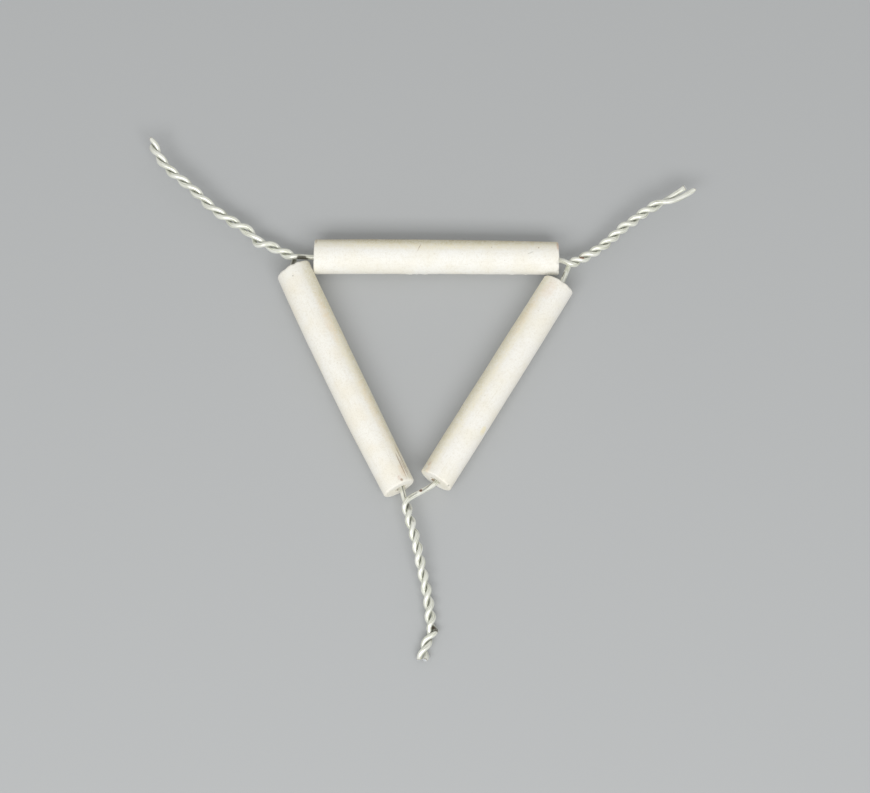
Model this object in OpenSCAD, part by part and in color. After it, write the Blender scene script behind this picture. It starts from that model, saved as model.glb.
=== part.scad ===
// Pipe clay triangle: three unglazed clay tubes threaded on three galvanised
// wires, which are twisted together in pairs at the corners. Millimetres, +Z up.
// It lies on z = 0, with the origin at the centre of the triangular opening.

/* [Clay tubes] */
// Length of the tube along the back
back_tube_l = 60; // [57:0.5:63]
// Length of the tube on the left
left_tube_l = 61.5; // [58:0.5:64]
// Length of the tube on the right
right_tube_l = 58.5; // [56:0.5:62]
// Nominal outer diameter of a tube
tube_d = 8.5; // [7.5:0.1:9.5]
// Diameter of the bore through each tube
bore_d = 2.6; // [2:0.1:3]
// Rounding of a tube's outer rims
rim_r = 0.45; // [0.2:0.05:1]
// Rounding of the mouths of a bore
mouth_r = 0.15; // [0.05:0.05:0.4]

/* [Wire] */
// Diameter of the wire
wire_d = 1.25; // [0.9:0.05:1.4]
// Clear gap between the two strands of a twist
strand_gap = 0.06; // [0.02:0.02:0.2]

/* [Twists] */
// Length of one full turn in the left tail
left_pitch = 8.1; // [7:0.1:9]
// Length of one full turn in the right tail
right_pitch = 6.1; // [5.5:0.1:8]
// Length of one full turn in the front tail
front_pitch = 6.6; // [6:0.1:8.5]

/* [Facets] */
// Sides of the wire's round section
wire_sides = 10; // [8:1:12]
// Rings of facets in one turn of twist
rings_per_turn = 14; // [12:1:20]

/* [Hidden] */

wire_r = wire_d / 2;
bore_r = bore_d / 2;
// Clearance between a wire and the wall of the bore that it lies against
lean_clear = 0.01;
// Facets in a quarter round of a tube's rim
rim_steps = 6;

// Hand-rolled tubes are not quite true: how far the radius of each is over or
// under the nominal one at its start, at its middle and at its end
back_r = tube_d / 2 * [1, 1, 1] + [0.07, 0.02, -0.13];
left_r = tube_d / 2 * [1, 1, 1] + [0.15, 0.2, -0.15];
right_r = tube_d / 2 * [1, 1, 1] + [-0.17, -0.02, -0.02];

// The tubes' axes cross at three corners. Each tube's ends stand off from them
// by these distances: first the end where the tube starts, then its other end.
back_off = [0.825 * tube_d, 0.5 * tube_d];
left_off = [0.48 * tube_d, 0.9 * tube_d];
right_off = [0.97 * tube_d, 1.165 * tube_d];

// Sides of the triangle that the axes make, and its angles by the law of cosines
back_side = back_off[0] + back_tube_l + back_off[1];
left_side = left_off[0] + left_tube_l + left_off[1];
right_side = right_off[0] + right_tube_l + right_off[1];
left_angle = corner_angle(back_side, left_side, right_side);
right_angle = corner_angle(back_side, right_side, left_side);

// Corners, with the origin at the centre of the opening's inscribed circle
front_from_left = left_side * heading(-left_angle);
centre = (left_side * [back_side, 0] + back_side * front_from_left)
    / (back_side + left_side + right_side);
left_corner = -centre;
right_corner = [back_side, 0] - centre;
front_corner = front_from_left - centre;

// Ends of the tubes' axes. Each tube lies on the ground along its underside.
back_ends = tube_ends(left_corner, right_corner, back_off, back_r);
left_ends = tube_ends(left_corner, front_corner, left_off, left_r);
right_ends = tube_ends(right_corner, front_corner, right_off, right_r);

// A tail is a list: where its axis starts, at the first crossing of its two
// wires; its heading there; its bends as [length, turn] pairs; its lay, 1 for a
// left-hand twist and -1 for a right-hand one; its pitch; the twist gathered up
// at the corner; [where, over what length] the twist runs out; its rise as
// [from, to, height]; and its slack places, each [where, how far the first
// strand stands off the axis, how far the other does, width].
START = 0;
AT = 1;
BENDS = 2;
LAY = 3;
PITCH = 4;
GATHER = 5;
RUN_OUT = 6;
RISE = 7;
SLACK = 8;
left_tail = [
    lift(left_corner + [1.9, -0.4], 4.2), 146,
    [[2.5, 11], [4.5, -2.5], [5, -16], [7, 12], [8, -17], [9, 9], [6, -17], [6, -20]],
    1, left_pitch, 0.8, [60, 1], [5, 46, 1.3],
    [[10, 0.5, -0.3, 4.5], [17, 0.15, 0, 4]]
];
right_tail = [
    lift(right_corner + [-1.6, -1.8], 4.2), 23.5,
    [[6, 8], [6, 12], [6, -5], [6, -5], [5, -13], [9, 20]],
    -1, right_pitch, 0.6, [25, 3.8], [5, 37, 2.2],
    [[18, 0.2, -0.15, 3], [29, 0, 0.2, 3], [36, 0.3, 0.15, 4]]
];
front_tail = [
    lift(front_corner + [-1.9, 3.2], 4.2), 277,
    [[5, 11], [8, -7], [7, 3], [9, -10], [2.5, -1], [1.5, -33], [3, 14], [6, 12]],
    -1, front_pitch, 0, [60, 1], [10, 30, -2.6],
    [[27.5, 0.1, 0.1, 2.5], [31.6, 0.38, -0.3, 0.9], [39, 0.35, 0.05, 2.5]]
];
// Length over which the gathered twist is spread
gather_l = 1.5;

// Each end of a wire is a list: its tail; 1 for the strand on top at the first
// crossing, -1 for the one below; its reach along the tail; the side of the bore
// that it leans on; how stiffly it leaves the bore and enters the twist; and the
// roll of its nipped end, 0 for a wedge that lies flat and 90 for one on edge.
TAIL = 0;
SIDE = 1;
REACH = 2;
LEAN = 3;
OUT = 4;
IN = 5;
ROLL = 6;
back_wire_ends = [
    [left_tail, 1, 48.5, -100, 2, 1.5, 90],
    [right_tail, 1, 35.1, -170, 1, 1, 20]
];
left_wire_ends = [
    [left_tail, -1, 47.2, -100, 1.5, 1.5, 90],
    [front_tail, -1, 38.8, -60, 1, 1, 0]
];
right_wire_ends = [
    [right_tail, -1, 37, -60, 1.5, 1.5, 60],
    [front_tail, 1, 39, -70, 1.5, 1.2, 40]
];
// Steps along the curve from a bore into the twist
lead_steps = 7;
// Side cutters squeeze a cut end into a wedge. Rings at an end: how far back each
// stands, and its half-width and half-height as shares of the wire's radius
nips = [[0.9, 1, 1], [0.4, 1.08, 0.78], [0.08, 1.14, 0.56], [0, 1.06, 0.46]];

function heading(a) = [cos(a), sin(a)];
function lift(p, z) = [p[0], p[1], z];
function unit(v) = v / norm(v);
function reversed(list) = [for (i = [len(list) - 1:-1:0]) list[i]];
function corner_angle(a, b, opposite) =
    acos((a ^ 2 + b ^ 2 - opposite ^ 2) / (2 * a * b));
function arc(c, r, a0) =
    [for (i = [0:rim_steps]) c + r * heading(a0 + 90 * i / rim_steps)];
function ease(t) = let (u = min(1, max(0, t))) u * u * (3 - 2 * u);

// Ends of a tube's axis that runs from corner a towards corner b
function tube_ends(a, b, off, radii) =
    let (
        way = unit(b - a),
        belly = max(0, radii[1] - (radii[0] + radii[2]) / 2)
    )
    [
        lift(a + off[0] * way, radii[0] + belly),
        lift(b - off[1] * way, radii[2] + belly)
    ];

// ---- a twisted tail --------------------------------------------------------
// Chord of an arc of length t that sets off at a and turns rate degrees a mm
function chord(t, a, rate) =
    let (half = rate * t / 2)
    t * (abs(half) < 0.001 ? 1 : sin(half) / (half * PI / 180)) * heading(a + half);

// Place and heading after going s along a chain of bends
function walk(bends, s, p, a, i = 0) =
    let (
        run = bends[i][0],
        turn = bends[i][1],
        last = i == len(bends) - 1,
        t = last ? s : min(s, run),
        q = p + chord(t, a, turn / run)
    )
    s > run && !last
        ? walk(bends, s - run, q, a + turn, i + 1)
        : [q[0], q[1], a + turn * t / run];

// Degrees that the strands have turned at s. The turning stops growing where
// the twist runs out.
function turned(tail, s) =
    let (
        out = tail[RUN_OUT],
        past = max(0, s - out[0]),
        laid = min(s, out[0]) + out[1] * (1 - exp(-past / out[1])),
        gathered = tail[GATHER] * (1 - exp(-s / gather_l))
    )
    360 * (laid + gathered) / tail[PITCH];

function sum(list, i = 0) = i < len(list) ? list[i] + sum(list, i + 1) : 0;

// Centre of one strand of a tail at s: side is 1 or -1
function strand(tail, side, s) =
    let (
        at = walk(tail[BENDS], s, [tail[START][0], tail[START][1]], tail[AT]),
        rise = tail[RISE],
        z = tail[START][2] + rise[2] * ease((s - rise[0]) / (rise[1] - rise[0])),
        k = side > 0 ? 1 : 2,
        extra = [for (b = tail[SLACK]) b[k] * exp(-((s - b[0]) / b[3]) ^ 2)],
        off = side * (wire_r + strand_gap / 2 + sum(extra)),
        aside = off * tail[LAY] * sin(turned(tail, s)),
        above = off * cos(turned(tail, s))
    )
    [at[0] - aside * sin(at[2]), at[1] + aside * cos(at[2]), z + above];

// Strand from the first crossing to its cut end, which gets the nips' rings
function strand_path(end) =
    let (
        reach = end[REACH] - nips[0][0],
        steps = ceil(reach / end[TAIL][PITCH] * rings_per_turn)
    )
    concat(
        [for (i = [0:steps - 1]) strand(end[TAIL], end[SIDE], reach * i / steps)],
        [for (n = nips) strand(end[TAIL], end[SIDE], end[REACH] - n[0])]
    );

// Point where a wire leaves the bore, at end e of a tube
function bore_exit(ends, e, lean) =
    let (
        way = unit(ends[1] - ends[0]),
        play = bore_r - wire_r - lean_clear
    )
    ends[e] + play * [-way[1] * cos(lean), way[0] * cos(lean), sin(lean)];

// Curve from the bore's exit to the first crossing, without its last point
function lead(from, out, end) =
    let (
        to = strand(end[TAIL], end[SIDE], 0),
        on = unit(strand(end[TAIL], end[SIDE], 0.05) - to),
        a = from + out * end[OUT],
        b = to - on * end[IN]
    )
    [
        for (i = [0:lead_steps - 1])
            let (t = i / lead_steps, u = 1 - t)
            u ^ 3 * from + 3 * u ^ 2 * t * a + 3 * u * t ^ 2 * b + t ^ 3 * to
    ];

// Centre line of a whole wire: tail, lead, straight through the bore, and back
function wire_path(ends, wire_ends) =
    let (
        way = unit(ends[1] - ends[0]),
        first = bore_exit(ends, 0, wire_ends[0][LEAN]),
        second = bore_exit(ends, 1, wire_ends[1][LEAN])
    )
    concat(
        reversed(strand_path(wire_ends[0])),
        reversed(lead(first, -way, wire_ends[0])),
        lead(second, way, wire_ends[1]),
        strand_path(wire_ends[1])
    );

// Half-width, half-height and roll of ring i of a wire: round, but for its ends
function ring_shape(i, count, rolls) =
    let (
        k = len(nips) - 1 - min(i, count - 1 - i),
        roll = rolls[i < count / 2 ? 0 : 1]
    )
    k < 0 ? [wire_r, wire_r, 0] : [wire_r * nips[k][1], wire_r * nips[k][2], roll];

// ---- solids ----------------------------------------------------------------
// Section of a tube's wall, with rounded rims and bore mouths
function wall_section(length, radii) =
    concat(
        arc([radii[0] - rim_r, rim_r], rim_r, 270),
        [[radii[1], length / 2]],
        arc([radii[2] - rim_r, length - rim_r], rim_r, 0),
        arc([bore_r + mouth_r, length - mouth_r], mouth_r, 90),
        arc([bore_r + mouth_r, mouth_r], mouth_r, 180)
    );

module clay_tube(ends, radii) {
    way = ends[1] - ends[0];
    length = norm(way);
    translate(ends[0])
        rotate([0, acos(way[2] / length), atan2(way[1], way[0])])
            rotate_extrude($fn = 96)
                polygon(wall_section(length, radii));
}

// A round wire with nipped ends, swept along its path as one closed skin
module swept_wire(ends, wire_ends) {
    path = wire_path(ends, wire_ends);
    rolls = [wire_ends[0][ROLL], wire_ends[1][ROLL]];
    count = len(path);
    rings = [
        for (i = [0:count - 1])
            let (
                way = unit(path[min(i + 1, count - 1)] - path[max(i - 1, 0)]),
                side = unit(cross([0, 0, 1], way)),
                up = cross(way, side),
                shape = ring_shape(i, count, rolls),
                wide = shape[0] * (cos(shape[2]) * side + sin(shape[2]) * up),
                tall = shape[1] * (cos(shape[2]) * up - sin(shape[2]) * side)
            )
            for (j = [0:wire_sides - 1])
                let (a = 360 * j / wire_sides - 90 - shape[2])
                path[i] + cos(a) * wide + sin(a) * tall
    ];
    skin = [
        for (i = [0:count - 2], j = [0:wire_sides - 1])
            let (
                a = i * wire_sides,
                b = a + wire_sides,
                k = (j + 1) % wire_sides
            )
            [a + j, b + j, b + k, a + k]
    ];
    first = [for (j = [0:wire_sides - 1]) j];
    last = [for (j = [wire_sides - 1:-1:0]) (count - 1) * wire_sides + j];
    polyhedron(rings, concat([first], skin, [last]), convexity = 10);
}

module back_tube() {
    color("#e9e3d2")
        clay_tube(back_ends, back_r);
}

module left_tube() {
    color("#e6dfcc")
        clay_tube(left_ends, left_r);
}

module right_tube() {
    color("#ece6d6")
        clay_tube(right_ends, right_r);
}

module back_wire() {
    color("#b9beba")
        swept_wire(back_ends, back_wire_ends);
}

module left_wire() {
    color("#b3b9b6")
        swept_wire(left_ends, left_wire_ends);
}

module right_wire() {
    color("#bfc3bf")
        swept_wire(right_ends, right_wire_ends);
}

back_tube();
left_tube();
right_tube();
back_wire();
left_wire();
right_wire();
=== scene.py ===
# %% [markdown]
# # A pipe clay triangle
# Three tubes of unglazed white clay are threaded on three galvanised wires. Neighbouring
# wires are twisted together at each corner, and their free ends make the three tails. A
# crucible sits in the opening while a burner heats it from below.
# The CAD model gives the size and the place of every piece, so it is loaded first. Nothing
# in it is moved: finer pieces are built over it and stand in for its plain ones.

# %% Load the frame
import math
import bpy
import numpy as np
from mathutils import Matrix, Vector, noise


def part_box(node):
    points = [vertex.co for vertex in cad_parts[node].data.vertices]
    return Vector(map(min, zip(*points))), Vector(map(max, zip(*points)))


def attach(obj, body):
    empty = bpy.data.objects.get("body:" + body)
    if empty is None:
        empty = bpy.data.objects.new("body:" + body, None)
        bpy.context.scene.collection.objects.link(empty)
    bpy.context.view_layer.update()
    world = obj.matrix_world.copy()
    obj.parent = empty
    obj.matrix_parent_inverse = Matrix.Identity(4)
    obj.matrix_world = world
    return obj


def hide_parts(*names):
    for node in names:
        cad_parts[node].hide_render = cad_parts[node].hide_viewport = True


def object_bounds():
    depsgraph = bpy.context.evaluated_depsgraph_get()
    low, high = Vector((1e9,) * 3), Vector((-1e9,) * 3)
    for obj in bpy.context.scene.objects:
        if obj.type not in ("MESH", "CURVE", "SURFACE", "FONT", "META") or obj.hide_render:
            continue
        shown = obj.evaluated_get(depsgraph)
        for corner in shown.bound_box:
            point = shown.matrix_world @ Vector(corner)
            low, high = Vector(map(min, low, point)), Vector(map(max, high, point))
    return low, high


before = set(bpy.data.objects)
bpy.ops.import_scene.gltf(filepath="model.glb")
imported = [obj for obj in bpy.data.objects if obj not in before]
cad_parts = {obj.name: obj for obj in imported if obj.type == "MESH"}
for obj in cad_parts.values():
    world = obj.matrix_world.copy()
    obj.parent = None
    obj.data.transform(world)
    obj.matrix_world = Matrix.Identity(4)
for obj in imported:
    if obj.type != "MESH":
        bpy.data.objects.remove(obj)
cad_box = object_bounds()
MM = 0.001
print("CAD nodes:", ", ".join(sorted(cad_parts)))
print("CAD box in mm:", [[round(v / MM, 2) for v in corner] for corner in cad_box])

# %% [markdown]
# ## The layout of the triangle
# The tubes' axes cross at three corners. A tube stops short of each corner, because the
# wire needs room to turn there. Knowing the three sides, the law of cosines gives the
# angles, and the corners follow. The origin is the centre of the opening. These are the
# same few sizes, in millimetres, that the CAD model is worked out from.

# %% Corners of the triangle
TUBE_D = 8.5
WIRE_R = 1.25 / 2
BORE_R = 2.6 / 2
tube_length = {"back": 60.0, "left": 61.5, "right": 58.5}
stand_off = {
    "back": (0.825 * TUBE_D, 0.5 * TUBE_D),
    "left": (0.48 * TUBE_D, 0.9 * TUBE_D),
    "right": (0.97 * TUBE_D, 1.165 * TUBE_D),
}
side = {name: tube_length[name] + sum(stand_off[name]) for name in tube_length}


def heading(degrees):
    """A step of length one in the plane, in that direction."""
    return np.array([math.cos(math.radians(degrees)), math.sin(math.radians(degrees))])


def corner_angle(a, b, opposite):
    return math.degrees(math.acos((a * a + b * b - opposite * opposite) / (2 * a * b)))


left_angle = corner_angle(side["back"], side["left"], side["right"])
front_from_left = side["left"] * heading(-left_angle)
right_from_left = np.array([side["back"], 0.0])
centre = (side["left"] * right_from_left + side["back"] * front_from_left) / sum(side.values())
corner = {
    "left": -centre,
    "right": right_from_left - centre,
    "front": front_from_left - centre,
}
print("corners in mm:", {name: place.round(2).tolist() for name, place in corner.items()})

# %% [markdown]
# ## Where each tube lies
# A hand-made tube is never quite true. Each of these is a little thicker at one end than
# at the other, or swollen in the middle, by a tenth or two of a millimetre. A tube rests
# on the ground along its underside, so its axis is as high as it is thick.

# %% Axes of the tubes
tube_radius = {
    "back": (4.32, 4.27, 4.12),
    "left": (4.40, 4.45, 4.10),
    "right": (4.08, 4.23, 4.23),
}
tube_from = {"back": ("left", "right"), "left": ("left", "front"), "right": ("right", "front")}


def tube_axis(name):
    """The two ends of a tube's axis, as points in space."""
    a, b = (corner[c] for c in tube_from[name])
    way = (b - a) / np.linalg.norm(b - a)
    first, middle, last = tube_radius[name]
    belly = max(0.0, middle - (first + last) / 2)
    near, far = stand_off[name]
    return np.array([*(a + near * way), first + belly]), np.array([*(b - far * way), last + belly])


axis = {name: tube_axis(name) for name in tube_length}
for name, (a, b) in axis.items():
    low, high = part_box(name + "_tube")
    middle = (Vector(low) + Vector(high)) / 2 / MM
    print(name, "tube: middle", ((a + b) / 2).round(2).tolist(), "CAD", [round(v, 2) for v in middle])

# %% [markdown]
# ## The path of a tail
# Two wires that are twisted together wind round a common middle line, half a turn apart.
# Twisting them leaves that line a little bent, so it is a chain of gentle arcs, each with a
# length and a turn. A strand stands off that line by its own radius, to one side and upwards in turn,
# which makes a helix. Some places are slack, where the strands stand a little apart.

# %% The three tails
# in mm: the clear space between two strands, the length over which the twist gathered at a
# corner is spread, and the height of the middle lines at the corners
GAP = 0.06
GATHER_L = 1.5
TAIL_Z = 4.2


class Tail:
    """A twisted pair, in mm and degrees, with the same values as in the CAD model.

    It has its start and heading; its bends, each a length and a turn; its lay, 1 for a
    left-hand twist and -1 for a right-hand one; its pitch; the twist gathered up at the
    corner; where, and over what length, the twist runs out; its rise, as from, to and
    height; and its slack places, each as where, how far the first strand stands off there,
    how far the second one does, and over what length.
    """

    def __init__(self, start, at, bends, lay, pitch, gather, run_out, rise, slack):
        self.start, self.at, self.bends = np.array(start), at, bends
        self.lay, self.pitch, self.gather, self.run_out = lay, pitch, gather, run_out
        self.rise, self.slack = rise, slack


tails = {
    "left": Tail(
        corner["left"] + [1.9, -0.4], 146,
        [(2.5, 11), (4.5, -2.5), (5, -16), (7, 12), (8, -17), (9, 9), (6, -17), (6, -20)],
        1, 8.1, 0.8, (60, 1), (5, 46, 1.3),
        [(10, 0.5, -0.3, 4.5), (17, 0.15, 0, 4)],
    ),
    "right": Tail(
        corner["right"] + [-1.6, -1.8], 23.5,
        [(6, 8), (6, 12), (6, -5), (6, -5), (5, -13), (9, 20)],
        -1, 6.1, 0.6, (25, 3.8), (5, 37, 2.2),
        [(18, 0.2, -0.15, 3), (29, 0, 0.2, 3), (36, 0.3, 0.15, 4)],
    ),
    "front": Tail(
        corner["front"] + [-1.9, 3.2], 277,
        [(5, 11), (8, -7), (7, 3), (9, -10), (2.5, -1), (1.5, -33), (3, 14), (6, 12)],
        -1, 6.6, 0, (60, 1), (10, 30, -2.6),
        [(27.5, 0.1, 0.1, 2.5), (31.6, 0.38, -0.3, 0.9), (39, 0.35, 0.05, 2.5)],
    ),
}
print("tails:", {name: f"one turn in {tail.pitch} mm" for name, tail in tails.items()})

# %% Walking along a tail
# an arc that turns by less than this, in radians, is drawn straight
NEARLY_STRAIGHT = 1e-5


def walk(tail, s):
    """Place and heading after going s millimetres along the chain of arcs."""
    place, at = tail.start, tail.at
    for i, (length, turn) in enumerate(tail.bends):
        step = s if i == len(tail.bends) - 1 else min(s, length)
        rate = turn / length
        half = math.radians(rate * step / 2)
        chord = step * (math.sin(half) / half if abs(half) > NEARLY_STRAIGHT else 1)
        place = place + chord * heading(at + rate * step / 2)
        at += rate * step
        s -= step
        if s <= 0:
            break
    return place, at


def ease(t):
    """From 0 to 1 as t does, with a soft start and a soft end."""
    t = min(1.0, max(0.0, t))
    return t * t * (3 - 2 * t)


def turned(tail, s):
    """Degrees that the strands have turned round each other at s."""
    out, fade = tail.run_out
    laid = min(s, out) + fade * (1 - math.exp(-max(0.0, s - out) / fade))
    gathered = tail.gather * (1 - math.exp(-s / GATHER_L))
    return 360 * (laid + gathered) / tail.pitch


def strand(tail, which, s):
    """Centre of a strand at s: which is 1 for the one on top at the first crossing, or -1."""
    place, at = walk(tail, s)
    low, high, climb = tail.rise
    z = TAIL_Z + climb * ease((s - low) / (high - low))
    column = 1 if which > 0 else 2
    extra = sum(bit[column] * math.exp(-(((s - bit[0]) / bit[3]) ** 2)) for bit in tail.slack)
    off = which * (WIRE_R + GAP / 2 + extra)
    psi = math.radians(turned(tail, s))
    aside, above = off * tail.lay * math.sin(psi), off * math.cos(psi)
    sideways = aside * heading(at + 90)
    return np.array([place[0] + sideways[0], place[1] + sideways[1], z + above])


print("start of the left tail:", strand(tails["left"], 1, 0).round(2).tolist())

# %% [markdown]
# ## Routing a wire
# Each wire starts at the tip of one tail, winds down to the corner, makes a short curve
# into the tube's bore, runs straight through, and does the same at the other end. The
# curve is a cubic Bezier: it leaves the bore along the tube and meets the helix along the
# helix, so there is no kink. A wire is thinner than its bore and leans on one side of it.
# The tips were nipped off with side cutters, so each route also says how its tip is rolled.

# %% Route of each wire
# in mm: how clear of its bore a wire keeps, how far apart its points are, how far back the
# first ones stand at a tip, and how much a tip is cut short because the wedge spreads it
LEAN_CLEAR = 0.01
STEP = 0.14
TIP_STEPS = (0, 0.03, 0.08)
TIP_TRIM = 0.06
# points on the curve into the bore, and the short step that gives the helix's direction
BEND_STEPS = 30
AIM_STEP = 0.05
# tail, strand, reach, side of the bore leaned on, stiffness out of the bore and into the
# twist, and the roll of the nipped tip: 0 for a wedge that lies flat, 90 for one on edge
wire_ends = {
    "back": [("left", 1, 48.5, -100, 2, 1.5, 90), ("right", 1, 35.1, -170, 1, 1, 20)],
    "left": [("left", -1, 47.2, -100, 1.5, 1.5, 90), ("front", -1, 38.8, -60, 1, 1, 0)],
    "right": [("right", -1, 37, -60, 1.5, 1.5, 60), ("front", 1, 39, -70, 1.5, 1.2, 40)],
}


def bore_exit(tube, end, lean):
    """Where a wire that leans on one side of its bore comes out of it."""
    a, b = axis[tube]
    way = (b - a) / np.linalg.norm(b - a)
    play = BORE_R - WIRE_R - LEAN_CLEAR
    across = math.cos(math.radians(lean)) * np.array([-way[1], way[0], 0])
    return (a, b)[end] + play * (across + [0, 0, math.sin(math.radians(lean))])


def half_route(tube, end):
    """Points from a tail's tip to the bore, and beside each the tail's other strand, or None."""
    tail_name, which, reach, lean, out, into, _ = wire_ends[tube][end]
    tail = tails[tail_name]
    steps = np.arange(STEP + TIP_STEPS[-1], reach - STEP, STEP)
    tip = reach - TIP_TRIM
    places = [tip - back for back in (*TIP_STEPS, *steps, tip)]
    winding = [strand(tail, which, s) for s in places]
    beside = [strand(tail, -which, s) for s in places]
    start = bore_exit(tube, end, lean)
    a, b = axis[tube]
    outward = (b - a) / np.linalg.norm(b - a) * (1 if end else -1)
    meet = winding[-1]
    along = strand(tail, which, AIM_STEP) - meet
    pull_a = start + out * outward
    pull_b = meet - into * along / np.linalg.norm(along)
    bend = []
    for i in range(1, BEND_STEPS + 1):
        t = 1 - i / BEND_STEPS
        u = 1 - t
        bend.append(u**3 * start + 3 * u * u * t * pull_a + 3 * u * t * t * pull_b + t**3 * meet)
    return winding + bend, beside + [None] * len(bend)


def wire_route(tube):
    """Points of the whole wire and, for each, the strand that it winds round, or None."""
    first, beside_first = half_route(tube, 0)
    last, beside_last = half_route(tube, 1)
    return np.array(first + last[::-1]), beside_first + beside_last[::-1]


def length_gone(points):
    """How far along the route each of its points is."""
    steps = np.linalg.norm(np.diff(points, axis=0), axis=1)
    return np.concatenate([[0], np.cumsum(steps)])


routes = {name: wire_route(name) for name in wire_ends}
for name, (points, _) in routes.items():
    print(name, "wire:", len(points), "points,", round(float(length_gone(points)[-1]), 1), "mm long")

# %% [markdown]
# ## Drawing the wire along its route
# A wire is the same round section all the way, so its skin is one ring of points for each
# step of the route, joined to the next ring. Writing the skin as a mesh, rather than
# bevelling a curve, lets each point carry what the finish will need later: how far along
# the wire it is, whether it faces into the groove between two strands, and whether it lies
# on the cut end. Side cutters squeeze a tip into a short wedge, wider than the wire one way
# and thinner the other. One tip also kept a small burr where the jaws met.

# %% Rings of a wire's skin
WIRE_SIDES = 20
# the wedge: how far back from the tip, and there its width and height as shares of the wire's
WEDGE_BACK = (0, 0.08, 0.4, 0.9)
WEDGE_WIDE = (1.06, 1.14, 1.08, 1)
WEDGE_TALL = (0.46, 0.56, 0.78, 1)
# shallow marks of the die: their depth as a share of the wire's radius, and how closely they
# follow each other in space and round the wire
RIPPLE = 0.012
RIPPLE_APART = 0.9
RIPPLE_ROUND = 2


def frames_along(points):
    """A level sideways direction and an upward one at each point of a route."""
    way = np.gradient(points, axis=0)
    way /= np.linalg.norm(way, axis=1)[:, None]
    across = np.cross([0, 0, 1], way)
    across /= np.linalg.norm(across, axis=1)[:, None]
    return way, across, np.cross(way, across)


def ring(tube, point, to_end, last_half, across, up):
    """One ring of the skin, as offsets from the middle, flattened near a tip."""
    wide = np.interp(to_end, WEDGE_BACK, WEDGE_WIDE)
    tall = np.interp(to_end, WEDGE_BACK, WEDGE_TALL)
    roll = math.radians(wire_ends[tube][1 if last_half else 0][-1])
    flat = math.cos(roll) * across + math.sin(roll) * up
    edge = math.cos(roll) * up - math.sin(roll) * across
    offsets = []
    for j in range(WIRE_SIDES):
        a = math.tau * j / WIRE_SIDES - roll
        out = math.cos(a) * flat + math.sin(a) * edge
        ripple = 1 + RIPPLE * noise.noise(Vector(point * RIPPLE_APART + out * RIPPLE_ROUND))
        offsets.append(WIRE_R * ripple * (wide * math.cos(a) * flat + tall * math.sin(a) * edge))
    return np.array(offsets)


print("a tip is", WEDGE_WIDE[0] * 2 * WIRE_R, "mm wide and", WEDGE_TALL[0] * 2 * WIRE_R, "mm thick")

# %% Skin of a wire
# the burr: its wire and end, how far it stands out in mm, and how far above the wire's
# middle it begins, as a share of the radius
BURR = ("back", 1, 0.3)
BURR_FOOT = 0.1
# a tip is bruised over this length in mm; a start above 1 marks the very end in full
BRUISE = 0.3
BRUISE_START = 1.25
# strands this much further apart than a tight pair, in mm, get neither dirt nor painted shade between
# them
GROOVE_FADE = 0.6


def wire_skin(tube, points, beside):
    """Points of the skin, how far each faces the other strand, and the length gone."""
    way, across, up = frames_along(points)
    gone = length_gone(points)
    skin, groove = [], []
    for i, point in enumerate(points):
        last_half = gone[i] > gone[-1] / 2
        to_end = gone[-1] - gone[i] if last_half else gone[i]
        offsets = ring(tube, point, to_end, last_half, across[i], up[i])
        if (tube, int(last_half)) == BURR[:2]:
            upper = np.clip(offsets @ up[i] / WIRE_R - BURR_FOOT, 0, 1) ** 2
            offsets = offsets + BURR[2] * ease(1 - to_end / BRUISE) * upper[:, None] * way[i]
        if beside[i] is None:
            faces_other = np.zeros(WIRE_SIDES)
        else:
            other = beside[i] - point
            apart = np.linalg.norm(other)
            faces_other = offsets @ other / apart / WIRE_R
            faces_other *= ease(1 - (apart - 2 * WIRE_R - GAP) / GROOVE_FADE)
        skin.append(point + offsets)
        groove.append(np.clip(faces_other, 0, 1))
    return np.concatenate(skin), np.concatenate(groove), gone


def carry(mesh, name, values):
    """Give every point of a mesh a number that its finish can read."""
    mesh.attributes.new(name, "FLOAT", "POINT").data.foreach_set("value", values)


def carry_place(mesh, name, places):
    """The same for a place in space, in mm."""
    mesh.attributes.new(name, "FLOAT_VECTOR", "POINT").data.foreach_set("vector", places.ravel())


def stand_for(mesh, name, node):
    """Put a mesh in the scene as the piece that stands for a CAD node."""
    piece = bpy.data.objects.new(name, mesh)
    bpy.context.scene.collection.objects.link(piece)
    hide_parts(node)
    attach(piece, "root")
    return piece


print("strands lie", GAP, "mm apart where the twist is tight")

# %% The three wires
def build_wire(tube):
    """Join the rings of a wire and close its two ends."""
    points, beside = routes[tube]
    skin, groove, gone = wire_skin(tube, points, beside)
    count, n = len(points), WIRE_SIDES
    vertices = np.vstack([skin, points[0], points[-1]]) * MM
    faces = [
        (i * n + j, i * n + (j + 1) % n, (i + 1) * n + (j + 1) % n, (i + 1) * n + j)
        for i in range(count - 1)
        for j in range(n)
    ]
    faces += [(count * n, (j + 1) % n, j) for j in range(n)]
    last = (count - 1) * n
    faces += [(count * n + 1, last + j, last + (j + 1) % n) for j in range(n)]
    mesh = bpy.data.meshes.new(tube + "_bare_wire")
    mesh.from_pydata(vertices.tolist(), [], faces)
    along = np.concatenate([np.repeat(gone, n), [0, gone[-1]]])
    to_end = np.minimum(along, gone[-1] - along)
    carry(mesh, "along", along)
    carry(mesh, "groove", np.concatenate([groove, [0, 0]]))
    carry(mesh, "cut", np.clip(BRUISE_START - to_end / BRUISE, 0, 1))
    mesh.shade_smooth()
    return stand_for(mesh, tube + "_galvanised_wire", tube + "_wire")


wires = {name: build_wire(name) for name in routes}
for piece in wires.values():
    print(piece.name, len(piece.data.polygons), "faces")

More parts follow.
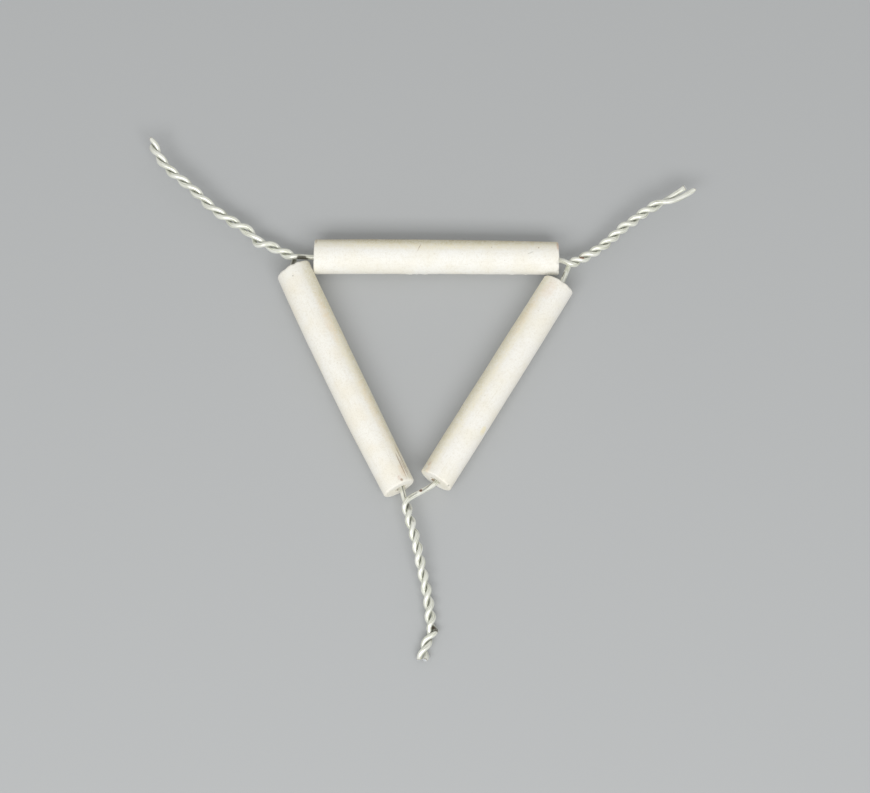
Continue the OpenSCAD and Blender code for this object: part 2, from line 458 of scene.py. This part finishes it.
# %% [markdown]
# ## Shaping a clay tube
# Tubes like these are pressed out of a die as soft clay, cut to length and fired without a
# glaze. So the wall is plain, a little uneven, and the ends are not quite square, with
# rims that were rubbed soft by hand. A tube is drawn as a closed outline of its wall, once
# round the outside and back through the bore, turned about the axis. The unevenness is
# then worked in: smooth noise over the wall, a slanting cut, small bites at the rims, and
# a few flaws at places of their own, such as a chip in a rim or a crumb fired on to a side.
# A cylinder with a hole cut through it would be quicker, but its few long faces could not be
# worn down like this.
# Two of the tubes also sagged a little in the kiln, by a third of a millimetre at most.
# Only the outer wall follows that bow. The bore stays straight, as it is in the CAD model.

# %% Outline of a tube's wall
ROUND = 160
ALONG = 230
RIM_STEPS = 7
FACE_STEPS = 8
# in mm: how much of the bore's edge is rubbed off, and where the rubbed edge's middle point
# is, in from the end and out from the bore
MOUTH = 0.16
MOUTH_MIDDLE = (0.03, 0.07)


def end_outline(radius, rim):
    """Points (in from the end, radius) from the bore's mouth over the end face to the wall."""
    face = radius - rim - BORE_R - MOUTH
    outline = [(MOUTH, BORE_R), (MOUTH_MIDDLE[0], BORE_R + MOUTH_MIDDLE[1])]
    outline += [(0, BORE_R + MOUTH + face * k / FACE_STEPS) for k in range(FACE_STEPS)]
    for k in range(RIM_STEPS + 1):
        a = math.radians(90 * k / RIM_STEPS)
        outline.append((rim - rim * math.cos(a), radius - rim + rim * math.sin(a)))
    return outline


def wall_outline(length, radii, rim):
    """Points (along, radius) round the wall, starting at the near bore mouth."""
    first, middle, last = radii
    outline = end_outline(first, rim)
    for k in range(1, ALONG):
        t = k / ALONG
        curve = first * (1 - t) * (1 - 2 * t) + 4 * middle * t * (1 - t) + last * t * (2 * t - 1)
        outline.append((rim + (length - 2 * rim) * t, curve))
    return outline + [(length - inset, r) for inset, r in reversed(end_outline(last, rim))]


print("points in an outline:", len(wall_outline(60, (4.3, 4.3, 4.1), 0.4)))

# %% Flaws of the three tubes
# along in mm, round in degrees (90 is the top), size in mm, height in mm (below 0 a chip)
flaws = {
    "back": [
        (23.5, 197, 0.8, 0.13), (25.2, 194, 0.3, 0.1), (27.2, 197, 0.7, 0.12),
        (31.0, 198, 0.4, -0.22), (45.3, 197, 0.3, -0.2), (46.3, 196, 0.3, -0.2),
        (48.6, 196, 0.6, 0.09), (52.0, 197, 0.3, 0.12), (59.9, 128, 0.45, -0.26),
        (60.0, 165, 0.5, -0.2), (0.0, 60, 0.4, -0.12), (12.6, 30, 0.5, -0.1),
    ],
    "left": [
        (0.0, 86, 0.4, -0.3), (0.0, 122, 0.7, -0.18), (0.0, 60, 0.35, -0.16),
        (0.0, 150, 0.5, -0.12), (61.4, 30, 0.4, -0.15), (20.0, 205, 0.5, 0.08),
    ],
    "right": [
        (0.0, 75, 0.5, -0.14), (0.0, 40, 0.4, -0.14), (58.4, 150, 0.4, -0.16),
        (58.5, 60, 0.35, -0.15), (33.0, 195, 0.6, 0.07),
    ],
}
print("flaws:", {name: len(found) for name, found in flaws.items()})

# %% Places on a tube
def tube_frame(name):
    """Start and length of a tube's axis, and its directions: along, sideways and up."""
    a, b = axis[name]
    length = float(np.linalg.norm(b - a))
    way = (b - a) / length
    across = np.cross([0, 0, 1], way)
    across /= np.linalg.norm(across)
    return a, length, way, across, np.cross(way, across)


def on_tube(name, along, around):
    """Point on a tube's wall and its three directions: along it, round it and outwards."""
    a, length, way, across, up = tube_frame(name)
    turn = math.radians(around)
    out = math.cos(turn) * across + math.sin(turn) * up
    radius = np.interp(along / length, [0, 0.5, 1], tube_radius[name])
    return a + along * way + radius * out, way, np.cross(way, out), out


def flaw_height(name, places):
    """How far the flaws push each place outwards."""
    height = np.zeros(len(places))
    for along, around, size, tall in flaws[name]:
        away = np.linalg.norm(places - on_tube(name, along, around)[0], axis=1)
        height += tall * np.exp(-((away / size) ** 2))
    return height


print("top of the left tube's middle:", on_tube("left", tube_length["left"] / 2, 90)[0].round(2))

# %% Skin of a tube
# waves of the wall and of the end faces, each as width and depth in mm
LONG_WAVES = (9, 0.05)
SHORT_WAVES = (2.2, 0.018)
WORN_WAVES = (1.3, 0.07)
FACE_WAVES = (1.7, 0.05)
# only the hollows of the worn waves show, and this share of them
WORN_SHARE = 0.6
# small bites out of the rims: width and depth in mm, the noise above which one shows, and
# where in the noise they are taken
BITE_WIDE, BITE_DEEP, BITE_FROM = 0.8, 0.55, 0.34
BITE_SHIFT = Vector((7, 3, 1))
# how far from an end the slanting cut and the wear reach, and how far the bites do, in mm
END_REACH = 7
RIM_REACH = 0.9
# the bore keeps true, and so does a ring of this many mm round its mouth; over this many
# more the unevenness comes in
MOUTH_TRUE = 0.4
MOUTH_FADE = 2


def uneven(place, width, depth):
    """Smooth noise between -depth and depth, with waves about as wide as width."""
    return depth * noise.noise(Vector(place / width))


def bitten(place):
    """How deep a rim is bitten at a place."""
    return max(0, noise.noise(Vector(place / BITE_WIDE) + BITE_SHIFT) - BITE_FROM) * BITE_DEEP


def tube_skin(name, rim, slants, bow, longer):
    """Points of a tube. slants holds each end's cut, as mm and degrees round; longer is in mm."""
    a, length, way, across, up = tube_frame(name)
    outline = wall_outline(length, tube_radius[name], rim)
    skin, straight, outward = [], [], []
    for s, r in outline:
        near = ease(1 - s / END_REACH)
        far = ease(1 - (length - s) / END_REACH)
        outer = ease((r - BORE_R - MOUTH_TRUE) / MOUTH_FADE)
        at_rim = max(0, 1 - min(s, length - s) / RIM_REACH) * outer
        inward = 1 if s < length / 2 else -1
        f = s / length
        aside = bow[0] * (1 - f) + bow[2] * f + 4 * bow[1] * f * (1 - f)
        for j in range(ROUND):
            turn = math.tau * j / ROUND
            out = math.cos(turn) * across + math.sin(turn) * up
            place = a + s * way + r * out
            wall = uneven(place, *LONG_WAVES) + uneven(place, *SHORT_WAVES) - LONG_WAVES[1]
            worn = (near + far) * uneven(place, *WORN_WAVES)
            bite = bitten(place) * at_rim
            depth = outer * (wall + min(0, worn) * WORN_SHARE) - bite
            push = sum(
                part * (r / TUBE_D * 2) * amount * math.cos(turn - math.radians(toward))
                for part, (amount, toward) in ((near, slants[0]), (far, slants[1]))
            )
            face = uneven(place, *FACE_WAVES) * outer
            push += far * longer + face * (far - near) + inward * bite / 2
            skin.append(a + (s + push) * way + (r + depth) * out + outer * aside * across)
            straight.append((s, r * math.cos(turn), r * math.sin(turn)))
            outward.append(outer * (out - inward * at_rim * way))
    skin = np.array(skin)
    skin += flaw_height(name, skin)[:, None] * np.array(outward)
    return skin, np.array(straight), len(outline)


print("the wall is uneven by up to", LONG_WAVES[1] + SHORT_WAVES[1], "mm")

# %% The three tubes
def build_tube(name, rim, slants, bow, longer=0):
    """Join the rows of a tube's skin into one closed mesh."""
    skin, straight, rows = tube_skin(name, rim, slants, bow, longer)
    faces = []
    for i in range(rows):
        k = (i + 1) % rows
        for j in range(ROUND):
            m = (j + 1) % ROUND
            faces.append((i * ROUND + j, i * ROUND + m, k * ROUND + m, k * ROUND + j))
    mesh = bpy.data.meshes.new(name + "_fired_clay")
    mesh.from_pydata((skin * MM).tolist(), [], faces)
    carry_place(mesh, "straight", straight)
    mesh.shade_smooth()
    return stand_for(mesh, name + "_clay_tube", name + "_tube")


# rim in mm, slant of each end as mm and degrees round, bow at the start, middle and end in mm
tubes = {
    "back": build_tube("back", 0.4, ((0.1, 0), (0.1, 180)), (-0.24, 0.2, -0.24)),
    "left": build_tube("left", 0.55, ((0.2, 150), (0.2, 185)), (0.05, -0.33, -0.33), longer=0.3),
    "right": build_tube("right", 0.425, ((0.1, 90), (0.15, 0)), (0, 0, 0)),
}
for piece in tubes.values():
    print(piece.name, len(piece.data.polygons), "faces")

# %% [markdown]
# ## Making finishes
# A finish here is a small network of nodes that ends in one shader. The same few steps
# come back in all of them: take noise at some scale, turn a range of it into a mask, and
# let the mask mix one colour into another. Helpers for these steps keep each finish short.

# %% Helpers for the finishes
def new_finish(name):
    """A new material, its tree of nodes and its shader."""
    material = bpy.data.materials.new(name)
    material.use_nodes = True
    tree = material.node_tree
    return material, tree, tree.nodes["Principled BSDF"]


def put(tree, kind, *inputs, **settings):
    """Add a node, set its settings, and feed its inputs in order. None leaves one as it is."""
    node = tree.nodes.new("ShaderNode" + kind)
    for name, value in settings.items():
        setattr(node, name, value)
    for socket, value in zip(node.inputs, inputs):
        if isinstance(value, bpy.types.NodeSocket):
            tree.links.new(value, socket)
        elif value is not None:
            socket.default_value = value
    return node


def linear(red, green, blue):
    """A colour as it looks on a screen, 0 to 255, turned into the amounts of light."""
    return [*((((c / 255) + 0.055) / 1.055) ** 2.4 for c in (red, green, blue)), 1]


def stretched(tree, place, scale):
    """The place with each direction multiplied, so that noise comes out long or short."""
    return put(tree, "VectorMath", place, scale, operation="MULTIPLY").outputs[0]


def grain(tree, place, scale, detail=3):
    """Noise between 0 and 1, mostly near a half."""
    node = put(tree, "TexNoise", noise_dimensions="3D")
    tree.links.new(place, node.inputs["Vector"])
    node.inputs["Scale"].default_value = scale
    node.inputs["Detail"].default_value = detail
    return node.outputs[0]


def mask(tree, value, low, high, top=1.0):
    """Nothing at low, top at high, and a soft step between them, whichever is greater."""
    node = put(tree, "MapRange", value, low, high, 0.0, top, interpolation_type="SMOOTHSTEP")
    return node.outputs[0]


def spread(tree, value, low, high, at_low, at_high):
    """A straight run from at_low, where the value is low or less, to at_high."""
    return put(tree, "MapRange", value, low, high, at_low, at_high).outputs[0]


def times(tree, a, b):
    return put(tree, "Math", a, b, operation="MULTIPLY").outputs[0]


def plus(tree, a, b):
    return put(tree, "Math", a, b, operation="ADD").outputs[0]


def blend_in(tree, how_much, under, over):
    """The colour over laid on the colour under by a mask."""
    node = put(tree, "Mix", data_type="RGBA")
    for name, value in (("Factor", how_much), ("A", under), ("B", over)):
        socket = next(s for s in node.inputs if s.name == name and s.enabled)
        if isinstance(value, bpy.types.NodeSocket):
            tree.links.new(value, socket)
        else:
            socket.default_value = value
    return next(s for s in node.outputs if s.enabled)


def raise_grain(tree, shader, height, strength, depth):
    """Bump the surface by a height, of which 1 stands for depth in mm."""
    bump = put(tree, "Bump")
    bump.inputs["Strength"].default_value = strength
    bump.inputs["Distance"].default_value = depth * MM
    tree.links.new(height, bump.inputs["Height"])
    tree.links.new(bump.outputs[0], shader.inputs["Normal"])


print("sample colour, a light grey:", [round(c, 3) for c in linear(200, 200, 200)])

# %% [markdown]
# ## Galvanised wire
# Mild steel wire is drawn through dies and dipped in zinc. New zinc is bright, and in a
# drawer it turns a dull, pale grey with a touch of green, with fine lines along the wire
# and paler bloom in patches. The grooves between the strands are darkened, as dirt and as
# the painted shade that falls between them, and a few small rust spots come through where
# the zinc is gone. Dark patches on the wires are dirt in some places and painted shadow in
# others, where a tube or another strand shades a wire. Fine lines have to follow the wire
# round every bend, so the noise is taken at the place each point would have on a straight
# wire, which every point of the skin carries.

# %% Where the rust, the dirt and the painted shadows lie
def on_wire(tube, end, out, around):
    """Point on a wire's skin, out mm beyond the bore's mouth and around degrees round it."""
    points = np.array(half_route(tube, end)[0])[::-1]
    _, across, up = frames_along(points)
    i = int(np.searchsorted(length_gone(points), out))
    turn = math.radians(around)
    return points[i] + WIRE_R * (math.cos(turn) * across[i] + math.sin(turn) * up[i])


# wire and which end of it; from and to, each as mm beyond the bore's mouth and degrees
# round the wire (90 is the top); half width in mm, strength
rust_spots = [
    ("right", 1, (4.5, 110), (4.5, 110), 0.4, 1.2),
    ("right", 0, (9.5, 45), (10, 45), 0.4, 1.3),
    ("right", 1, (45.5, 90), (46, 110), 0.3, 0.7),
    ("back", 0, (34, 160), (34, 160), 0.3, 0.7),
]
# dark streaks on the wires: dirt in some places, and in others painted shadow, where a tube or
# another strand shades a wire
dirt_and_shadow_streaks = [
    # painted shadow at the left corner: on the back wire, where the end of the left tube shades it,
    # and on the left wire as it leaves its bore
    ("back", 0, (2, 0), (4, 0), 0.7, 1.0),
    ("back", 0, (2.5, 45), (4, 45), 0.5, 1.4),
    ("left", 0, (1.5, 90), (2.5, 90), 0.7, 0.8),
    ("right", 1, (4.5, 110), (4.5, 110), 0.3, 1.0),
    # painted shade on the upper side of strands near the start of the front tail
    ("left", 1, (5, 90), (6.5, 90), 0.7, 0.6),
    ("right", 1, (14, 90), (15.5, 90), 0.4, 0.5),
    # thin darker lines along the wires by the front corner
    ("left", 1, (0, 70), (2.5, 70), 0.2, 0.8),
    ("right", 1, (1, 140), (2.5, 100), 0.2, 0.8),
    ("right", 1, (2.5, 100), (4, 80), 0.2, 0.7),
    ("right", 1, (5.5, 100), (8, 100), 0.2, 0.6),
    # painted shadow, with some brown in it, on the strand that lies behind the knee near the tip of
    # the front tail
    ("right", 1, (45.5, 90), (46.5, 90), 0.6, 0.9),
    ("right", 1, (46.5, 40), (47, 40), 0.3, 0.9),
    ("right", 1, (47, 80), (48, 170), 0.3, 1.1),
    ("right", 0, (2.5, 40), (3.5, 40), 0.3, 0.8),
    ("left", 1, (42, 60), (43.5, 60), 0.7, 0.6),
]


NO_LENGTH = 1e-9


def nearness(points, streaks):
    """From 0 far from all the streaks to the strength of one on its middle line."""
    near = np.zeros(len(points))
    for tube, end, begin, finish, size, strength in streaks:
        start = on_wire(tube, end, *begin)
        run = on_wire(tube, end, *finish) - start
        share = np.clip((points - start) @ run / max(run @ run, NO_LENGTH), 0, 1)
        away = np.linalg.norm(points - start - share[:, None] * run, axis=1) / size
        near = np.maximum(near, strength * np.exp(-(away**2)))
    return near


for tube, piece in wires.items():
    mesh = piece.data
    points = np.array([v.co for v in mesh.vertices]) / MM
    carry(mesh, "rust", nearness(points, rust_spots))
    # how near each point is to a dark streak, which is dirt in some places and painted shadow in
    # others
    carry(mesh, "dirt_and_shadow", nearness(points, dirt_and_shadow_streaks))
    along = np.zeros(len(points))
    mesh.attributes["along"].data.foreach_get("value", along)
    turn = math.tau * (np.arange(len(points)) % WIRE_SIDES) / WIRE_SIDES
    straight = np.stack([along, WIRE_R * np.cos(turn), WIRE_R * np.sin(turn)], axis=1)
    carry_place(mesh, "straight", straight)
    print(piece.name, "rusty points:", int((nearness(points, rust_spots) > 0.3).sum()))

# %% The wire's finish
PALE_ZINC, DRAB_ZINC, BLOOM = linear(252, 253, 243), linear(198, 200, 178), linear(254, 254, 247)
# the groove's colour stands for dirt and painted shade, the caked colour for dirt and painted shadow
GROOVE_DIRT_AND_SHADE, CAKED_DIRT_AND_SHADOW, RUST = linear(108, 113, 94), linear(74, 70, 58), linear(142, 76, 42)
BRUISED_EDGE, CUT_STEEL = linear(122, 104, 84), linear(225, 228, 230)
# zinc gone dull is part metal and part oxide, and rust is not metal at all
METAL = 0.42


def read(tree, name, output="Fac"):
    """What a mesh carries under a name: a number, or with output Vector a place."""
    return put(tree, "Attribute", attribute_name=name).outputs[output]


def galvanised_finish():
    """Lines and bloom in the zinc, then the grooves' grime and painted shade, rust, dark patches of
    grime and painted shadow, and the cut tips.
    """
    material, tree, shader = new_finish("dull_galvanised_zinc")
    straight = read(tree, "straight", "Vector")
    lines = grain(tree, stretched(tree, straight, (0.35, 5.0, 5.0)), 1.0, 5)
    bloom = grain(tree, stretched(tree, straight, (0.45, 1.0, 1.0)), 1.0, 3)
    speck = grain(tree, straight, 5.0, 2)
    colour = blend_in(tree, mask(tree, lines, 0.48, 0.66), PALE_ZINC, DRAB_ZINC)
    colour = blend_in(tree, mask(tree, bloom, 0.5, 0.72, 0.7), colour, BLOOM)
    # painted shade, with dirt: the faces of a strand that look into the groove between two strands
    # are darkened
    groove = mask(tree, read(tree, "groove"), 0.15, 1.0, 0.62)
    colour = blend_in(tree, groove, colour, GROOVE_DIRT_AND_SHADE)
    rust = mask(tree, plus(tree, read(tree, "rust"), speck), 0.85, 1.1, 0.9)
    colour = blend_in(tree, rust, colour, RUST)
    # dark patches: dirt in some places, painted shadow in others
    dirt_and_shadow = times(tree, mask(tree, read(tree, "dirt_and_shadow"), 0.1, 0.9, 0.9), mask(tree, bloom, 0.1, 0.4))
    colour = blend_in(tree, dirt_and_shadow, colour, CAKED_DIRT_AND_SHADOW)
    cut = read(tree, "cut")
    colour = blend_in(tree, mask(tree, cut, 0.05, 0.4, 0.6), colour, BRUISED_EDGE)
    colour = blend_in(tree, mask(tree, cut, 0.55, 0.95), colour, CUT_STEEL)
    tree.links.new(colour, shader.inputs["Base Color"])
    tree.links.new(spread(tree, lines, 0.35, 0.7, 0.3, 0.5), shader.inputs["Roughness"])
    clean = put(tree, "Math", METAL, times(tree, rust, METAL), operation="SUBTRACT").outputs[0]
    tree.links.new(clean, shader.inputs["Metallic"])
    raise_grain(tree, shader, plus(tree, lines, times(tree, speck, 0.5)), 0.6, 0.04)
    return material


zinc = galvanised_finish()
for piece in wires.values():
    piece.data.materials.append(zinc)
print(zinc.name, "has", len(zinc.node_tree.nodes), "nodes")

# %% [markdown]
# ## Fired clay
# Pipe clay fires to a soft off-white. It is never one colour: the kiln leaves it creamier
# in clouds a few millimetres across, there are fine dark specks in it, and hands and
# flames leave warm stains. The surface is dry and matt, with a fine sandy grain and very
# faint lines along it from the die. Single marks, such as a scratch or a stain, are put at
# their own places on a tube, each as a soft oval that the noise breaks up. Long broad bands
# of cream and olive, and on the back tube of brown, along the side of each tube that faces
# away from the lamp are painted shade; a broad mark gets the grit of the clay. Small dark
# spots, also on the wall of a bore, are round, so each is a soft ball that cuts the clay.

# %% Marks on the tubes
# cream and olive are painted shade along the side of a tube away from the lamp; brown is stains, and
# also painted shade in the long bands on the back tube and in the spots deep in a bore
WARM, BROWN_STAIN_AND_SHADE, PINK = linear(236, 196, 146), linear(150, 120, 90), linear(206, 166, 146)
GREY, YELLOW, PAINTED_SHADE_OLIVE = linear(160, 160, 150), linear(246, 232, 182), linear(192, 184, 142)
PAINTED_SHADE_CREAM = linear(246, 238, 209)
# a mark longer than this, in mm, gets the grit of the clay; a shorter one is only frayed
BROAD = 6
# how deep a mark reaches into the wall, in mm, so that it stays on its own side of the tube
MARK_DEEP = 1.5
# along in mm, round in degrees (90 is the top), long and wide in mm, slant, strength, colour
# the long broad cream and olive marks, and the two long brown bands on the back tube, are painted
# shade along the side of each tube that faces away from the lamp; the other marks are stains,
# scratches and dots
marks = {
    "back": [
        (30.0, 48, 44.0, 4.0, 0, 0.75, PAINTED_SHADE_CREAM), (30.0, 30, 42.0, 3.2, 0.3, 0.38, PAINTED_SHADE_OLIVE),
        (12.0, 24, 16.0, 1.7, -0.5, 0.32, BROWN_STAIN_AND_SHADE), (42.0, 23, 22.0, 1.6, 0.5, 0.28, BROWN_STAIN_AND_SHADE),
        (25.8, 78, 1.25, 0.12, -66, 0.5, BROWN_STAIN_AND_SHADE), (53.0, 95, 0.9, 0.16, -25, 0.35, GREY),
        (59.7, 62, 0.35, 1.9, 0, 0.55, PINK), (0.5, 46, 0.35, 1.6, 0, 0.3, BROWN_STAIN_AND_SHADE),
    ],
    "left": [
        (31.0, 38, 44.0, 4.2, 0, 0.6, PAINTED_SHADE_CREAM), (33.0, 22, 40.0, 3.2, 0.5, 0.24, PAINTED_SHADE_OLIVE),
        (7.0, 44, 9.0, 2.6, 0, 0.2, PAINTED_SHADE_OLIVE), (16.0, 64, 8.0, 1.4, 3, 0.16, WARM),
        (42.0, 54, 12.0, 1.6, 1, 0.1, WARM), (57.4, 56, 3.8, 0.26, 2, 0.6, BROWN_STAIN_AND_SHADE),
        (58.4, 47, 3.0, 0.24, -2, 0.5, BROWN_STAIN_AND_SHADE), (56.2, 39, 4.6, 0.28, 0, 0.5, BROWN_STAIN_AND_SHADE),
        (59.0, 64, 2.0, 0.8, 0, 0.22, WARM), (60.4, 84, 0.8, 0.6, 0, 0.3, PINK),
    ],
    "right": [
        (29.0, 140, 42.0, 4.2, 0, 0.55, PAINTED_SHADE_CREAM), (32.0, 154, 38.0, 3.2, 0.5, 0.24, PAINTED_SHADE_OLIVE),
        (56.2, 136, 0.8, 0.5, 10, 0.4, PINK), (57.6, 128, 1.2, 0.7, 0, 0.22, WARM),
        (42.4, 29, 1.4, 1.0, 0, 0.55, YELLOW), (3.6, 104, 3.0, 1.8, 0, 0.16, WARM),
        (12.0, 128, 8.0, 1.4, 0, 0.12, WARM),
    ],
}
# along in mm, round in degrees, depth under the wall in mm, size in mm, strength, colour
# the brown spots set deep in a bore darken its wall at the mouth, close to the wire, where the gap
# lies in shade: painted shade
spots = {
    "back": [(55, 75, 0, 0.3, 0.7, BROWN_STAIN_AND_SHADE), (43.5, 75, 0, 0.25, 0.5, BROWN_STAIN_AND_SHADE)],
    "left": [
        (61, 80, 0, 0.5, 0.7, BROWN_STAIN_AND_SHADE), (3, 105, 0, 0.3, 0.5, GREY),
        (61.5, -60, 2.8, 0.55, 0.9, BROWN_STAIN_AND_SHADE), (61.5, -125, 2.8, 0.45, 0.7, GREY),
    ],
    "right": [(58.5, 30, 0, 0.45, 0.7, GREY), (58.5, -130, 2.9, 0.6, 0.85, BROWN_STAIN_AND_SHADE)],
}


def oval(tree, place, name, along, around, long, wide, slant):
    """A mask that is 1 in the middle of a mark and fades to 0 just past its edge."""
    point, way, round_it, out = on_tube(name, along, around)
    lean = math.radians(slant)
    first = math.cos(lean) * way + math.sin(lean) * round_it
    second = math.cos(lean) * round_it - math.sin(lean) * way
    middle = (point * MM).tolist()
    from_mark = put(tree, "VectorMath", place, middle, operation="SUBTRACT").outputs[0]
    squares = []
    for direction, size in ((first, long), (second, wide), (out, MARK_DEEP)):
        scale = (direction / (size * MM)).tolist()
        share = put(tree, "VectorMath", from_mark, scale, operation="DOT_PRODUCT").outputs["Value"]
        squares.append(times(tree, share, share))
    total = plus(tree, plus(tree, squares[0], squares[1]), squares[2])
    # low is above high here, so the mask falls as the distance grows
    return mask(tree, total, 1.3, 0.15)


def ball(tree, place, name, along, around, deep, size):
    """A mask that is 1 near a point of the clay and fades to 0 a size away from it."""
    point, _, _, out = on_tube(name, along, around)
    point = ((point - deep * out) * MM).tolist()
    away = put(tree, "VectorMath", place, point, operation="DISTANCE").outputs["Value"]
    return mask(tree, away, size * MM, size * MM / 3)


print("marks:", {name: len(found) for name, found in marks.items()})

# %% The clay's finish
MOTTLE, SANDY, DIE_LINES = linear(229, 223, 207), linear(208, 196, 172), linear(220, 212, 190)
DARK_SPECK, BORE_SHADE = linear(170, 152, 124), linear(120, 104, 82)
# the bore is shaded by this share, up to this far outside it in mm
BORE_SHARE = 0.12
BORE_FADE = 0.2


def clay_finish(name, pale, cream):
    """Clouds, mottle, sand and specks, then the tube's own marks, painted shade among them, and
    spots.

    The noise is taken in metres, apart from the die's lines, which are drawn in mm on the
    tube as it was before it bowed.
    """
    material, tree, shader = new_finish(name + "_pipe_clay")
    place = put(tree, "TexCoord").outputs["Object"]
    straight = read(tree, "straight", "Vector")
    clouds = grain(tree, place, 150, 4)
    mottle = grain(tree, place, 1500, 4)
    sand = grain(tree, place, 4000, 2)
    specks = grain(tree, place, 2600, 1)
    drawn = grain(tree, stretched(tree, straight, (0.12, 2.2, 2.2)), 1.0, 2)
    colour = blend_in(tree, mask(tree, clouds, 0.36, 0.68), pale, cream)
    colour = blend_in(tree, mask(tree, mottle, 0.45, 0.75, 0.28), colour, MOTTLE)
    colour = blend_in(tree, mask(tree, sand, 0.5, 0.75, 0.24), colour, SANDY)
    colour = blend_in(tree, mask(tree, drawn, 0.55, 0.75, 0.15), colour, DIE_LINES)
    colour = blend_in(tree, mask(tree, specks, 0.73, 0.8, 0.35), colour, DARK_SPECK)
    patchy = spread(tree, grain(tree, place, 600, 5), 0.35, 0.65, 0.65, 1.0)
    patchy = times(tree, patchy, spread(tree, specks, 0.35, 0.65, 0.6, 1.4))
    frayed = mask(tree, mottle, 0.1, 0.5)
    # among the marks, the long bands along the side away from the lamp are painted shade
    for along, around, long, wide, slant, strength, stain in marks[name]:
        shape = oval(tree, place, name, along, around, long, wide, slant)
        broken = times(tree, shape, patchy if long > BROAD else frayed)
        colour = blend_in(tree, times(tree, broken, strength), colour, stain)
    for along, around, deep, size, strength, stain in spots[name]:
        shape = ball(tree, place, name, along, around, deep, size)
        colour = blend_in(tree, times(tree, shape, strength), colour, stain)
    apart = put(tree, "VectorMath", straight, (0, 1, 1), operation="MULTIPLY").outputs[0]
    radius = put(tree, "VectorMath", apart, operation="LENGTH").outputs["Value"]
    inside = spread(tree, radius, BORE_R, BORE_R + BORE_FADE, BORE_SHARE, 0.0)
    colour = blend_in(tree, inside, colour, BORE_SHADE)
    tree.links.new(colour, shader.inputs["Base Color"])
    tree.links.new(spread(tree, mottle, 0.3, 0.7, 0.82, 0.95), shader.inputs["Roughness"])
    shader.inputs["Specular IOR Level"].default_value = 0.3
    coarse = plus(tree, times(tree, mottle, 0.8), times(tree, drawn, 0.5))
    raise_grain(tree, shader, plus(tree, coarse, times(tree, sand, 0.5)), 0.7, 0.08)
    return material


clay = {
    "back": clay_finish("back", linear(251, 250, 244), linear(248, 245, 234)),
    "left": clay_finish("left", linear(251, 249, 241), linear(248, 243, 229)),
    "right": clay_finish("right", linear(251, 249, 242), linear(248, 244, 231)),
}
for name, piece in tubes.items():
    piece.data.materials.append(clay[name])
    print(piece.name, "is finished in", clay[name].name)

# %% [markdown]
# ## Floor, light and camera
# The triangle lies flat on a plain pale floor. One broad soft lamp stands in front of it,
# a little to the left, so the tubes are bright along their front and turn grey behind,
# where the painted shade in the clay makes them warmer, and the twists of the wire show.
# The rest of the light is even, from all round. The two together light a surface about as
# brightly as its colour is written.

# %% Floor and world
FLOOR_SIZE = 12.0
PAPER, NEARLY_WHITE = linear(185, 187, 188), linear(250, 250, 249)
EVEN_LIGHT = 0.57


def plain_floor():
    """A square of pale paper, in metres, under the triangle."""
    half = FLOOR_SIZE / 2
    mesh = bpy.data.meshes.new("floor")
    corners = [(-half, -half, 0), (half, -half, 0), (half, half, 0), (-half, half, 0)]
    mesh.from_pydata(corners, [], [(0, 1, 2, 3)])
    material, _, shader = new_finish("pale_paper")
    shader.inputs["Base Color"].default_value = PAPER
    shader.inputs["Roughness"].default_value = 0.9
    mesh.materials.append(material)
    floor = bpy.data.objects.new("floor", mesh)
    bpy.context.scene.collection.objects.link(floor)
    return floor


floor = plain_floor()
world = bpy.data.worlds.new("even_light")
world.use_nodes = True
background = world.node_tree.nodes["Background"]
background.inputs["Color"].default_value = NEARLY_WHITE
background.inputs["Strength"].default_value = EVEN_LIGHT
bpy.context.scene.world = world
bpy.context.scene.view_settings.view_transform = "Standard"
print(floor.name, FLOOR_SIZE, "m wide")

# %% Lamps
def seen_from(azimuth, elevation):
    """The direction in which something stands: degrees to the right of the front, and up."""
    turn, tilt = math.radians(azimuth), math.radians(elevation)
    return Vector((
        math.sin(turn) * math.cos(tilt),
        -math.cos(turn) * math.cos(tilt),
        math.sin(tilt),
    ))


def stand(holder, place, back):
    """Put a lamp or a camera at a place, looking the other way from back."""
    holder.location = place
    holder.rotation_euler = (-back).to_track_quat("-Z", "Y").to_euler()
    bpy.context.scene.collection.objects.link(holder)


def soft_lamp(name, toward, distance, wide, tall, share):
    """A flat lamp, in metres, that gives a share of full light to a surface that faces it."""
    lamp = bpy.data.lights.new(name, "AREA")
    lamp.shape = "RECTANGLE"
    lamp.size, lamp.size_y = wide, tall
    lamp.energy = share * math.pi**2 * distance**2
    holder = bpy.data.objects.new(name, lamp)
    middle = (cad_box[0] + cad_box[1]) / 2
    back = seen_from(*toward)
    stand(holder, middle + back * distance, back)
    return holder


key = soft_lamp("broad_soft_lamp", toward=(-3, 50), distance=0.9, wide=1.1, tall=0.35, share=0.68)
print(key.name, "power", round(key.data.energy, 2), "W")

# %% Camera
LENS = 107.6
SENSOR = 36.0
# where the camera looks, and from how far, in mm
AIM = Vector((2.95, -14.91, 4.25))
DISTANCE = 628.3
AZIMUTH = 0.33
ELEVATION = 72.0
# what it sees lies between these distances, in metres
NEAREST = 0.01
FURTHEST = 20

camera_data = bpy.data.cameras.new("camera")
camera_data.lens = LENS
camera_data.sensor_width = SENSOR
camera_data.clip_start = NEAREST
camera_data.clip_end = FURTHEST
camera = bpy.data.objects.new("camera", camera_data)
toward_camera = seen_from(AZIMUTH, ELEVATION)
stand(camera, (AIM + toward_camera * DISTANCE) * MM, toward_camera)
bpy.context.scene.camera = camera
print("camera at", [round(v, 4) for v in camera.location])
